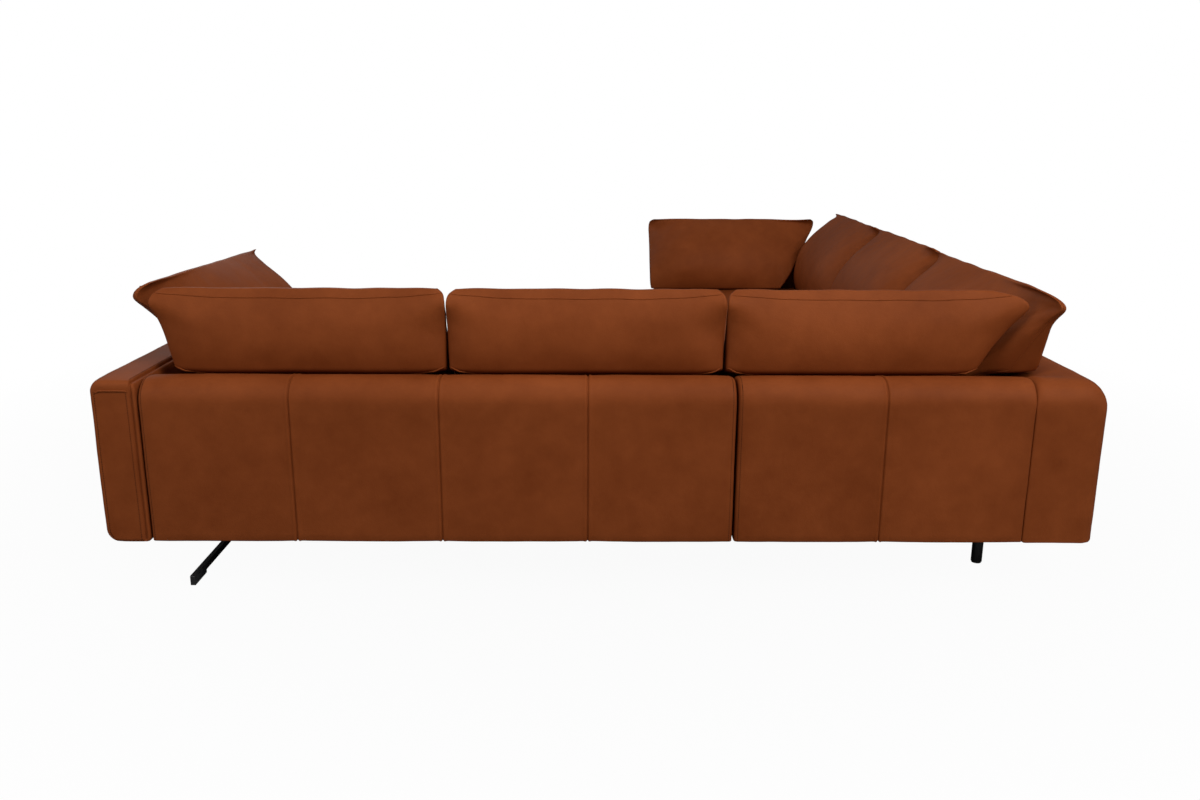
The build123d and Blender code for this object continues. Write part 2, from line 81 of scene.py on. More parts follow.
# Leather finish, and the share of the painted edge highlight
PATCH_SHARE = 0.35
EDGE_HIGHLIGHT_SHARE = 0.35
LEATHER_ROUGHNESS = (0.54, 0.68)
LEATHER_SPECULAR = 0.10
LEATHER_SPECULAR_TINT = (1.0, 0.80, 0.65, 1)

# Upholstery, metres
TOP_RADIUS = 0.060
INNER_TOP_RADIUS = 0.030
CROWN_RADIUS = 0.215
SEAM_PITCH = 0.400
SEAM_DEPTH = 0.0030
SEAM_WIDTH = 0.0022
SEAM_LIP = 0.0019
LIP_PLACE = 0.0058
LIP_WIDTH = 0.0034
SEAM_LINES = (0, 0.0012, 0.0025, 0.0042, 0.0065, 0.010, 0.016)
SEAM_PULL_WIDTH = 0.045
END_FADE = 0.035
PANEL_SWELL = 0.0032
BORDER_SWELL = 0.002
SEAT_SWELL = -0.0012
STITCH_PITCH = 0.0068
STITCH_INSET = 0.0095
STITCH_LENGTH = 0.0046
STITCH_WIDTH = 0.0017
STITCH_HEIGHT = 0.0010
STITCH_START = 0.004
STITCHED_TOP = 0.11
WELT_RADIUS = 0.0019
ARM_EDGE = 0.012
ARM_TOP_MARGIN = 0.012
ARM_END_MARGIN = 0.016
ARM_CROSS_SEAM = 0.010
CROSS_SEAM_START = 0.001
CROSS_SEAM_LIFT = 0.0015
CROSS_SEAM_RADIUS = 0.0024
GRID = 0.024
LEAST_SPACING = 0.0004

# Upholstery, shares and counts
CROWN_REACH = 0.66
SEAM_PULL = 0.55
NEAR_LINE = 0.35
ARM_OUTER_ROW = 0.6
ARM_INNER_ROW = 0.9
ARC_STEPS = 6
LOW_ARC_STEPS = 4
CROSS_SEAM_POINTS = 24

# Unevenness of the covers: height in metres, and waves to the metre
UNEVENNESS = ((0.0011, 7.0), (0.0005, 23.0))

# Loose cushions, metres
CUSHION_SWELL = 0.010
END_SWELL = 0.0042
OVERHANG = 0.050
FRONT_FILL = 0.018
SOLID_MARGIN = 0.0004
REAR_START = 0.024
REAR_FULL = 0.008
MOST_DRAWN_IN = 0.09
BACK_CONTACT = 0.012
FOOT_STEP = 0.004
KNIFE_DEPTH = 0.0022
TOP_WAVE = 0.0035
BROAD_CREASE = 0.0022
FRONT_RIDGE = 0.0030
REAR_RIDGE = 0.0010
SLACK_CREASE = 0.0022
SLACK_LENGTH = 0.11

# Loose cushions, shares, counts and the exponent of the levels
CUSHION_SAMPLES = 76
CUSHION_LEVELS = 44
END_STRIPS = 5
SMOOTHINGS = 3
CLOTH_STEPS = 20
LEVEL_POWER = 1.15
FOOT_ROUNDING = 0.08
TOP_ROUNDING = 0.10
EAR_SHARE = 0.885
EAR_TIP = 0.9
EAR_SPREAD = 0.075
EAR_LENGTH = 0.18
FILL_LENGTH = 0.30
REACH_LENGTH = 0.40
REAR_CORNER = 0.75
FRONT_GATHER = 0.42
REAR_GATHER = 0.12
FOOT_SEAM = 0.332
FOOT_SEAM_RISE = 0.075
CREST_SEAM = 0.945
CREST_SEAM_RISE = 0.03
END_SEAM_START = 0.08
END_SEAM_SPAN = 0.87
END_SEAM_STEPS = 60

# Creases: waves to the metre
RIDGE_WAVES = 34
FOLD_WAVES = 11
BROAD_WAVES = 5

# Camera, solved from the photograph's straight edges
EYE = (0.0323, 4.1037, 1.2657)
PITCH = math.radians(14.68)
ROLL = math.radians(0.295)
YAW = math.radians(0.505)
LENS = 31.40
SENSOR = 36.0


# Materials

def socket(node, name, value):
    """Set one input of a shader node."""
    node.inputs[name].default_value = value


def new_material(name):
    """Empty node material with its principled shader."""
    material = bpy.data.materials.new(name)
    material.use_nodes = True
    shader = material.node_tree.nodes["Principled BSDF"]
    return material, material.node_tree, shader


def add(tree, kind, **values):
    """New shader node with its settings."""
    node = tree.nodes.new(kind)
    for key, value in values.items():
        if key in node.inputs:
            node.inputs[key].default_value = value
        else:
            setattr(node, key, value)
    return node


def ramp(tree, stops):
    """Colour ramp with the given places and colours."""
    node = tree.nodes.new("ShaderNodeValToRGB")
    while len(node.color_ramp.elements) < len(stops):
        node.color_ramp.elements.new(0.5)
    for element, (place, colour) in zip(node.color_ramp.elements, stops):
        element.position = place
        element.color = colour
    return node


def leather_material():
    """Pigmented leather: mottled brown, pebbled grain, soft gloss, and a painted highlight that makes
    convex edges and seam lips paler.
    """
    material, tree, shader = new_material("leather")
    link = tree.links.new
    place = add(tree, "ShaderNodeTexCoord")
    mottle = add(tree, "ShaderNodeTexNoise", Scale=3.2, Detail=5.0, Roughness=0.55)
    patches = add(tree, "ShaderNodeTexNoise", Scale=17.0, Detail=4.0, Roughness=0.6)
    blend = add(tree, "ShaderNodeMix", data_type="FLOAT")
    socket(blend, 0, PATCH_SHARE)
    tone = ramp(tree, [(0.32, LEATHER_DARK), (0.68, LEATHER_LIGHT)])
    edges = add(tree, "ShaderNodeNewGeometry")
    # Painted highlight: convex edges, found by pointiness, are mixed towards the paler colour
    edge_highlight_mask = ramp(tree, [(0.52, (0, 0, 0, 1)), (0.62, (1, 1, 1, 1))])
    painted_edge_highlight = add(tree, "ShaderNodeMix", data_type="RGBA")
    socket(painted_edge_highlight, "B", LEATHER_EDGE_HIGHLIGHT)
    edge_highlight_strength = add(tree, "ShaderNodeMath", operation="MULTIPLY")
    socket(edge_highlight_strength, 1, EDGE_HIGHLIGHT_SHARE)
    link(place.outputs["Object"], mottle.inputs["Vector"])
    link(place.outputs["Object"], patches.inputs["Vector"])
    link(mottle.outputs[0], blend.inputs[2])
    link(patches.outputs[0], blend.inputs[3])
    link(blend.outputs[0], tone.inputs["Fac"])
    link(tone.outputs["Color"], painted_edge_highlight.inputs["A"])
    link(edges.outputs["Pointiness"], edge_highlight_mask.inputs["Fac"])
    link(edge_highlight_mask.outputs["Color"], edge_highlight_strength.inputs[0])
    link(edge_highlight_strength.outputs[0], painted_edge_highlight.inputs["Factor"])
    link(painted_edge_highlight.outputs["Result"], shader.inputs["Base Color"])

    pebbles = add(tree, "ShaderNodeTexVoronoi", feature="SMOOTH_F1", Scale=520.0, Smoothness=0.6)
    creases = add(tree, "ShaderNodeTexNoise", Scale=95.0, Detail=6.0, Roughness=0.65)
    grain = add(tree, "ShaderNodeBump", Strength=0.22, Distance=0.0009)
    folds = add(tree, "ShaderNodeBump", Strength=0.20, Distance=0.0022)
    link(place.outputs["Object"], pebbles.inputs["Vector"])
    link(place.outputs["Object"], creases.inputs["Vector"])
    link(pebbles.outputs["Distance"], grain.inputs["Height"])
    link(creases.outputs[0], folds.inputs["Height"])
    link(folds.outputs["Normal"], grain.inputs["Normal"])
    link(grain.outputs["Normal"], shader.inputs["Normal"])

    gloss = add(tree, "ShaderNodeMapRange")
    socket(gloss, "To Min", LEATHER_ROUGHNESS[0])
    socket(gloss, "To Max", LEATHER_ROUGHNESS[1])
    link(patches.outputs[0], gloss.inputs["Value"])
    link(gloss.outputs["Result"], shader.inputs["Roughness"])
    socket(shader, "Specular IOR Level", LEATHER_SPECULAR)
    socket(shader, "Specular Tint", LEATHER_SPECULAR_TINT)
    return material


def thread_material():
    """Waxed sewing thread, twisted and dark."""
    material, tree, shader = new_material("thread")
    twist = add(tree, "ShaderNodeTexWave", Scale=700.0, Distortion=1.5)
    shade = ramp(tree, [(0.2, THREAD), (0.9, tuple(1.8 * c for c in THREAD[:3]) + (1,))])
    place = add(tree, "ShaderNodeTexCoord")
    tree.links.new(place.outputs["Object"], twist.inputs["Vector"])
    tree.links.new(twist.outputs["Color"], shade.inputs["Fac"])
    tree.links.new(shade.outputs["Color"], shader.inputs["Base Color"])
    socket(shader, "Roughness", 0.8)
    socket(shader, "Specular IOR Level", 0.05)
    return material


def metal_material():
    """Black powder-coated steel, satin, with a fine orange-peel surface."""
    material, tree, shader = new_material("black_metal")
    place = add(tree, "ShaderNodeTexCoord")
    peel = add(tree, "ShaderNodeTexNoise", Scale=900.0, Detail=2.0)
    haze = add(tree, "ShaderNodeTexNoise", Scale=30.0, Detail=4.0)
    shade = ramp(tree, [(0.3, BLACK), (0.75, BLACK_WORN)])
    rough = ramp(tree, [(0.3, (0.34, 0.34, 0.34, 1)), (0.7, (0.45, 0.45, 0.45, 1))])
    bump = add(tree, "ShaderNodeBump", Strength=0.12, Distance=0.0004)
    link = tree.links.new
    link(place.outputs["Object"], peel.inputs["Vector"])
    link(place.outputs["Object"], haze.inputs["Vector"])
    link(haze.outputs[0], shade.inputs["Fac"])
    link(haze.outputs[0], rough.inputs["Fac"])
    link(shade.outputs["Color"], shader.inputs["Base Color"])
    link(rough.outputs["Color"], shader.inputs["Roughness"])
    link(peel.outputs[0], bump.inputs["Height"])
    link(bump.outputs["Normal"], shader.inputs["Normal"])
    return material


def mottled_material(name, dark, light, scale, roughness, metallic=0.0):
    """Plain working surface: two tones mixed by noise, with a faint bump."""
    material, tree, shader = new_material(name)
    place = add(tree, "ShaderNodeTexCoord")
    cloud = add(tree, "ShaderNodeTexNoise", Scale=scale, Detail=6.0)
    shade = ramp(tree, [(0.3, dark), (0.7, light)])
    bump = add(tree, "ShaderNodeBump", Strength=0.3, Distance=0.0008)
    link = tree.links.new
    link(place.outputs["Object"], cloud.inputs["Vector"])
    link(cloud.outputs[0], shade.inputs["Fac"])
    link(shade.outputs["Color"], shader.inputs["Base Color"])
    link(cloud.outputs[0], bump.inputs["Height"])
    link(bump.outputs["Normal"], shader.inputs["Normal"])
    socket(shader, "Roughness", roughness)
    socket(shader, "Metallic", metallic)
    return material


LEATHER = leather_material()
STITCHES = thread_material()
METAL = metal_material()
WOOD = mottled_material("wood", (0.30, 0.17, 0.075, 1), (0.42, 0.26, 0.12, 1), 40.0, 0.65)
WEBBING = mottled_material("webbing", (0.006, 0.006, 0.006, 1), (0.02, 0.02, 0.02, 1), 400.0, 0.9)
CLOTH = mottled_material("underside_cloth", (0.004, 0.004, 0.004, 1), (0.012, 0.012, 0.012, 1), 600.0, 0.95)
PLASTIC = mottled_material("foot_plastic", (0.008, 0.008, 0.008, 1), (0.016, 0.016, 0.016, 1), 300.0, 0.5)
STEEL = mottled_material("steel", (0.42, 0.42, 0.43, 1), (0.55, 0.55, 0.56, 1), 120.0, 0.38, 1.0)
SLOT_MATERIALS = {"leather": LEATHER, "wood": WOOD, "webbing": WEBBING, "underside_cloth": CLOTH,
                  "black_metal": METAL, "foot_plastic": PLASTIC, "steel": STEEL}


# Frames of the runs

class Run:
    """Frame of one node: along its run, inward from its outer face, and up."""

    def __init__(self, node, directions):
        low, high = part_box(node)
        self.along = Vector(directions[0])
        self.inward = Vector(directions[1])
        facing = self.along + self.inward
        start_x = high.x if facing.x < 0 else low.x
        start_y = high.y if facing.y < 0 else low.y
        self.origin = Vector((start_x, start_y, 0))
        size = high - low
        self.length = abs(size.dot(self.along))
        self.depth = abs(size.dot(self.inward))
        self.low = low.z
        self.high = high.z

    def world(self, x, y, z):
        """World point of a place in this frame."""
        return self.origin + self.along * x + self.inward * y + Vector((0, 0, z))

    def local(self, points):
        """Array of world points in this frame."""
        axes = np.array([self.along, self.inward, (0, 0, 1)])
        return (points - np.array(self.origin)) @ axes.T


def new_piece(name, points, faces, material):
    """Smooth mesh object of the given points and faces."""
    mesh = bpy.data.meshes.new(name)
    mesh.from_pydata([tuple(p) for p in points], [], faces)
    mesh.validate()
    mesh.polygons.foreach_set("use_smooth", [True] * len(mesh.polygons))
    mesh.materials.append(material)
    piece = bpy.data.objects.new(name, mesh)
    bpy.context.scene.collection.objects.link(piece)
    return piece


def stands_for(piece, node):
    """Let a piece replace a CAD node and ride on that node's body."""
    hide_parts(node)
    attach(piece, nodes[node]["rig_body"])


# Padded covers

def grid_lines(length, fine_places, spacing=GRID):
    """Places along an edge: evenly spaced, with the fine places kept exactly."""
    count = max(2, round(length / spacing))
    even = [length * i / count for i in range(count + 1)]
    kept = sorted(set(round(p, 6) for p in fine_places if 0 < p < length))
    near = spacing * NEAR_LINE
    lines = [p for p in even if p in (0, length) or all(abs(p - k) > near for k in kept)]
    lines = sorted(lines + kept)
    tidy = [lines[0]]
    for p in lines[1:]:
        if p - tidy[-1] > LEAST_SPACING:
            tidy.append(p)
    tidy[-1] = length
    return tidy


def arc_steps(radius, steps=ARC_STEPS):
    """Distances from an edge at which a rounding of this radius is sampled."""
    return [radius * (1 - math.cos(math.pi / 2 * i / steps)) for i in range(1, steps + 1)]


def seam_steps(place):
    """Grid lines that draw a seam's groove and lips."""
    return [place + side * offset for offset in SEAM_LINES for side in (-1, 1)]


def box_surface(xs, ys, zs):
    """Points and quads of a box's surface on the given grid lines."""
    index = {}
    points = []

    def vertex(i, j, k):
        if (i, j, k) not in index:
            index[i, j, k] = len(points)
            points.append((xs[i], ys[j], zs[k]))
        return index[i, j, k]

    faces = []

    def quad(*corners):
        faces.append([vertex(*corner) for corner in corners])

    nx, ny, nz = len(xs) - 1, len(ys) - 1, len(zs) - 1
    for i in range(nx):
        for j in range(ny):
            quad((i, j, 0), (i, j + 1, 0), (i + 1, j + 1, 0), (i + 1, j, 0))
            quad((i, j, nz), (i + 1, j, nz), (i + 1, j + 1, nz), (i, j + 1, nz))
    for i in range(nx):
        for k in range(nz):
            quad((i, 0, k), (i + 1, 0, k), (i + 1, 0, k + 1), (i, 0, k + 1))
            quad((i, ny, k), (i, ny, k + 1), (i + 1, ny, k + 1), (i + 1, ny, k))
    for j in range(ny):
        for k in range(nz):
            quad((0, j, k), (0, j, k + 1), (0, j + 1, k + 1), (0, j + 1, k))
            quad((nx, j, k), (nx, j + 1, k), (nx, j + 1, k + 1), (nx, j, k + 1))
    return points, faces


def rounding(distance, radius):
    """How far a face has turned in at a distance from the end of a rounded edge."""
    if distance >= radius:
        return 0.0
    return radius - math.sqrt(max(radius ** 2 - (radius - distance) ** 2, 0.0))


class Cover:
    """Padded leather block: rounded section, rounded ends, panel seams and a soft surface."""

    def __init__(self, node, directions, corners, first_end, last_end, seams=(), swell=PANEL_SWELL,
                 crowned=False, mitred=False, edge_seam=None):
        self.crowned = crowned
        self.mitred = mitred
        self.edge_seam = edge_seam
        self.node = node
        self.run = Run(node, directions)
        self.corners = corners
        self.ends = (first_end, last_end)
        self.seams = list(seams)
        self.swell = swell

    def section(self, y, z):
        """Point of the square section moved into the rounded one."""
        run = self.run
        outer_top, inner_top, outer_low, inner_low = self.corners
        for radius, from_outer, from_top in ((outer_top, True, True), (inner_top, False, True),
                                             (outer_low, True, False), (inner_low, False, False)):
            u = (radius - y) / radius if from_outer else (y - run.depth + radius) / radius
            v = (z - run.high + radius) / radius if from_top else (run.low + radius - z) / radius
            if u > 0 and v > 0:
                reach = max(u, v) / math.hypot(u, v) * radius
                y = radius - u * reach if from_outer else run.depth - radius + u * reach
                z = run.high - radius + v * reach if from_top else run.low + radius - v * reach
                break
        return y, z

    def place(self, x, y, z):
        """Point of the square block moved onto the rounded block."""
        run = self.run
        y, z = self.section(y, z)
        if self.crowned:
            past = max(0.0, (min(x, y) if self.mitred else y) - TOP_RADIUS)
            past = min(past, CROWN_REACH * CROWN_RADIUS)
            drop = CROWN_RADIUS - math.sqrt(CROWN_RADIUS ** 2 - past ** 2)
            z -= drop * (z - run.low) / (run.high - run.low)
        for distance, (outer, inner, top) in ((x, self.ends[0]), (run.length - x, self.ends[1])):
            turned_outer = rounding(distance, outer)
            turned_inner = rounding(distance, inner)
            turned_top = rounding(distance, top)
            y = turned_outer + y * (run.depth - turned_outer - turned_inner) / run.depth
            z = run.low + (z - run.low) * (run.high - turned_top - run.low) / (run.high - run.low)
        return x, y, z

    def offset(self, x, y, z, normal):
        """Distance that the leather stands out of the block."""
        across = 1 - abs(normal.x)
        near_end = min(x, self.run.length - x)
        out = self.swell * (1 - math.exp(-near_end / END_FADE)) * across
        out *= (1 + min(0.0, normal.z)) * (1 - max(0.0, normal.y))
        for seam in self.seams:
            t = abs(x - seam)
            out -= across * SEAM_PULL * self.swell * math.exp(-t / SEAM_PULL_WIDTH)
            out -= across * SEAM_DEPTH * math.exp(-(t / SEAM_WIDTH) ** 2)
            out += across * SEAM_LIP * math.exp(-((t - LIP_PLACE) / LIP_WIDTH) ** 2)
        if self.edge_seam is not None and (normal.z > 0.5 or abs(normal.x) > 0.5):
            t = abs(y - self.edge_seam)
            out -= 2 * SEAM_DEPTH * math.exp(-(t / (1.6 * SEAM_WIDTH)) ** 2)
        spot = self.run.world(x, y, z)
        out += sum(height * noise.noise(spot * waves) for height, waves in UNEVENNESS)
        return out

    def lines(self):
        """Grid lines along, across and up."""
        run = self.run
        fine = [p for seam in self.seams for p in seam_steps(seam)]
        for radius in self.ends[0]:
            fine += arc_steps(radius)
        for radius in self.ends[1]:
            fine += [run.length - p for p in arc_steps(radius)]
        outer_top, inner_top, outer_low, _ = self.corners
        steps = range(1, ARC_STEPS + 1)
        across = [outer_top * i / ARC_STEPS for i in steps]
        across += [run.depth - inner_top * i / ARC_STEPS for i in steps]
        if self.edge_seam is not None:
            across += seam_steps(self.edge_seam)
        up = [run.high - run.low - outer_top * i / ARC_STEPS for i in steps]
        up += [outer_low * i / LOW_ARC_STEPS for i in range(1, LOW_ARC_STEPS + 1)]
        return (grid_lines(run.length, fine), grid_lines(run.depth, across),
                [run.low + p for p in grid_lines(run.high - run.low, up)])

    def build(self):
        """Mesh piece that stands for the node."""
        points, faces = box_surface(*self.lines())
        shaped = [self.place(*p) for p in points]
        mesh = bpy.data.meshes.new("shape")
        mesh.from_pydata(shaped, [], faces)
        normals = [v.normal.copy() for v in mesh.vertices]
        moved = []
        for (x, y, z), normal in zip(shaped, normals):
            out = self.offset(x, y, z, normal)
            moved.append(self.run.world(x + normal.x * out, y + normal.y * out, z + normal.z * out))
        bpy.data.meshes.remove(mesh)
        self.piece = new_piece("leather_" + self.node, moved, faces, LEATHER)
        stands_for(self.piece, self.node)
        self.surface = BVHTree.FromPolygons(moved, faces)

    def outline(self, x, start, end, step):
        """Points on the cover at one place along it, up the outer face and over the top."""
        run = self.run
        height = run.high - run.low
        points = []
        travelled = start
        while travelled <= end:
            on_face = travelled <= height
            raw = (0, run.low + travelled) if on_face else (travelled - height, run.high)
            points.append(run.world(*self.place(x, *raw)))
            travelled += step
        return points


# Stitching and seams

class Sewing:
    """Stitches collected into one mesh."""

    def __init__(self):
        self.points = []
        self.faces = []

    def stitch(self, middle, direction, normal):
        """One stitch: a low bar with drawn-in ends."""
        side = normal.cross(direction).normalized()
        base = len(self.points)
        for along, share in ((-0.5, 0.35), (-0.25, 1.0), (0.25, 1.0), (0.5, 0.35)):
            spot = middle + direction * (along * STITCH_LENGTH)
            self.points.append(spot - side * STITCH_WIDTH * share - normal * STITCH_HEIGHT)
            self.points.append(spot + normal * STITCH_HEIGHT * share)
            self.points.append(spot + side * STITCH_WIDTH * share - normal * STITCH_HEIGHT)
        for i in range(3):
            a = base + 3 * i
            self.faces += [[a, a + 3, a + 4, a + 1], [a + 1, a + 4, a + 5, a + 2],
                           [a + 2, a + 5, a + 3, a]]
        self.faces += [[base, base + 1, base + 2], [base + 11, base + 10, base + 9]]

    def row(self, points, surface):
        """Stitches along a line of points laid on a surface."""
        for before, after in zip(points, points[1:]):
            middle = (before + after) / 2
            spot, normal, _, _ = surface.find_nearest(middle)
            direction = (after - before).normalized()
            self.stitch(spot, direction, normal)

    def finish(self, name, body):
        """Make the collected stitches one piece."""
        piece = new_piece(name, self.points, self.faces, STITCHES)
        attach(piece, body)


def welt(name, paths, normals, body, radius=WELT_RADIUS, sides=8):
    """Narrow raised seams that follow lines of points, each half sunk in the leather."""
    points, faces = [], []
    for path, ups in zip(paths, normals):
        base = len(points)
        count = len(path)
        for i, spot in enumerate(path):
            direction = (path[min(i + 1, count - 1)] - path[max(i - 1, 0)]).normalized()
            side = direction.cross(ups[i]).normalized()
            up = side.cross(direction)
            taper = min(1.0, 0.3 + 0.35 * min(i, count - 1 - i))
            for k in range(sides):
                turn = 2 * math.pi * k / sides
                points.append(spot + (side * math.cos(turn) + up * math.sin(turn)) * radius * taper)
        for i in range(count - 1):
            for k in range(sides):
                a = base + i * sides + k
                b = base + i * sides + (k + 1) % sides
                faces.append([a, b, b + sides, a + sides])
        faces.append([base + k for k in reversed(range(sides))])
        faces.append([base + (count - 1) * sides + k for k in range(sides)])
    piece = new_piece(name, points, faces, LEATHER)
    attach(piece, body)


# Backs and arms

def backs():
    """Covers of the backs with their panel seams."""
    end = (0.010, 0.010, 0.010)
    seam_end = (0.004, 0.004, 0.004)
    top = (TOP_RADIUS, INNER_TOP_RADIUS, 0.006, 0.006)
    covers = {}
    length = Run("main_back_cover", MAIN).length
    seams = [SEAM_PITCH * i for i in range(1, round(length / SEAM_PITCH))]
    for name, directions in (("main_back_cover", MAIN), ("return_back_cover", RETURN)):
        covers[name] = Cover(name, directions, top, end, end, seams, crowned=True)
    name = "corner_rear_back_cover"
    middle = [Run(name, MAIN).length / 2]
    covers[name] = Cover(name, MAIN, top, end, seam_end, middle, crowned=True)
    round_end = (0.030, 0.006, TOP_RADIUS)
    name = "corner_side_back_cover"
    middle = [Run(name, RETURN).length / 2]
    covers[name] = Cover(name, RETURN, top, round_end, end, middle, crowned=True, mitred=True)
    for cover in covers.values():
        cover.build()
    return covers


def arms():
    """Covers of the arms."""
    covers = {}
    end = (0.006, 0.006, 0.016)
    corners = (0.025, 0.025, 0.035, 0.008)
    for name, directions in (("main_arm_cover", MAIN_ARM), ("return_arm_cover", RETURN_ARM)):
        inner_edge = Run(name, directions).depth - ARM_EDGE
        covers[name] = Cover(name, directions, corners, end, end, edge_seam=inner_edge)
        covers[name].build()
    return covers


def borders():
    """Padded borders below the seats."""
    corners = (0.004, 0.008, 0.004, 0.008)
    end = (0.004, 0.004, 0.004)
    for name, directions in (("main_front_border", MAIN), ("return_front_border", RETURN)):
        Cover(name, directions, corners, end, end, swell=BORDER_SWELL).build()


def topstitching(covers):
    """Rows of stitches beside the module gaps and the arms."""
    sewing = Sewing()
    height = covers["main_back_cover"].run.high - covers["main_back_cover"].run.low
    reach = height + STITCHED_TOP
    for name, ends in (("main_back_cover", (0, 1)), ("return_back_cover", (0, 1)),
                       ("corner_rear_back_cover", (0,)), ("corner_side_back_cover", (1,))):
        cover = covers[name]
        for end in ends:
            x = cover.run.length - STITCH_INSET if end else STITCH_INSET
            sewing.row(cover.outline(x, STITCH_START, reach, STITCH_PITCH), cover.surface)
    sewing.finish("back_stitching", "sofa")


def arm_sewing(covers):
    """Stitches on the arms' rear faces and tops, and the seam across each rear face."""
    sewing = Sewing()
    crossings, ups = [], []
    for name, rear_is_last in (("main_arm_cover", True), ("return_arm_cover", False)):
        cover = covers[name]
        run = cover.run
        rear = run.length if rear_is_last else 0.0
        for y in (ARM_OUTER_ROW * STITCH_INSET, run.depth - ARM_EDGE - ARM_INNER_ROW * STITCH_INSET):
            rise = np.arange(run.low + STITCH_START, run.high - ARM_TOP_MARGIN, STITCH_PITCH)
            sewing.row([run.world(*cover.place(rear, y, z)) for z in rise], cover.surface)
            back = np.arange(ARM_END_MARGIN, run.length - ARM_END_MARGIN, STITCH_PITCH)
            sewing.row([run.world(*cover.place(x, y, run.high)) for x in back], cover.surface)
        z = run.high - ARM_CROSS_SEAM
        across = np.linspace(CROSS_SEAM_START, run.depth - ARM_EDGE, CROSS_SEAM_POINTS)
        line = [run.world(*cover.place(rear, y, z)) for y in across]
        found = [cover.surface.find_nearest(spot) for spot in line]
        crossings.append([spot + normal * CROSS_SEAM_LIFT for spot, normal, *_ in found])
        ups.append([normal for _, normal, *_ in found])
    sewing.finish("arm_stitching", "sofa")
    welt("arm_seams", crossings, ups, "sofa", radius=CROSS_SEAM_RADIUS)


# Seat cushions

class SeatCushion(Cover):
    """Seat cushion: crowned top, round front and sides drawn in between the corners."""

    crown = 0.014
    edge_drop = 0.0165
    edge = 0.05
    crown_start = 0.06
    drawn_in = 0.004

    def place(self, x, y, z):
        """Point of the square block moved onto the crowned cushion."""
        run = self.run
        x, y, z = super().place(x, y, z)
        u = 2 * x / run.length - 1
        v = max(0.0, min(1.0, (y - self.edge) / (run.depth - 2 * self.edge)))
        rise = max(0.0, v - self.crown_start) / (1 - self.crown_start)
        lift = (1 - u ** 4) * math.sin(math.pi * rise) ** 0.8
        share = (z - run.low) / (run.high - run.low)
        z += (self.crown * lift - self.edge_drop) * max(0.0, share) ** 2
        drawn = self.drawn_in * math.sin(math.pi * share) * (1 - (2 * v - 1) ** 4)
        x += drawn * (1 if u < 0 else -1) * abs(u) ** 6
        return x, y, z


def seats():
    """The seat cushions."""
    corners = (0.014, 0.045, 0.010, 0.016)
    end = (0.012, 0.024, 0.030)
    names = [("main_seat_cushion_1", MAIN), ("main_seat_cushion_2", MAIN),
             ("corner_seat_cushion", MAIN),
             ("return_seat_cushion_1", RETURN), ("return_seat_cushion_2", RETURN)]
    for name, directions in names:
        SeatCushion(name, directions, corners, end, end, swell=SEAT_SWELL).build()


# Loose cushions

def level_cut(triangles, z):
    """Line pieces in which triangles meet a level, as pairs of points in plan."""
    below = triangles[:, :, 2] - z
    crossing = (below.min(1) < 0) & (below.max(1) > 0)
    corners, heights = triangles[crossing], below[crossing]
    cuts, hits = [], []
    for a, b in ((0, 1), (1, 2), (2, 0)):
        hit = heights[:, a] * heights[:, b] < 0
        share = np.where(hit, heights[:, a] / np.where(hit, heights[:, a] - heights[:, b], 1), 0)
        cuts.append(corners[:, a, :2] + share[:, None] * (corners[:, b, :2] - corners[:, a, :2]))
        hits.append(hit)
    pieces = []
    for a, b in ((0, 1), (1, 2), (2, 0)):
        both = hits[a] & hits[b]
        pieces.append(np.stack([cuts[a][both], cuts[b][both]], 1))
    return np.concatenate(pieces)


def level_share(level):
    """Share of a cushion's height at a level of its grid, closer together towards the top."""
    return math.sin(level * math.pi / 2) ** LEVEL_POWER


def share_level(share):
    """Level of the grid at a share of a cushion's height."""
    return math.asin(share ** (1 / LEVEL_POWER)) * 2 / math.pi


def ease(value, low, high):
    """Smooth step from 0 at the low value to 1 at the high one."""
    t = np.clip((value - low) / (high - low), 0, 1)
    return t * t * (3 - 2 * t)


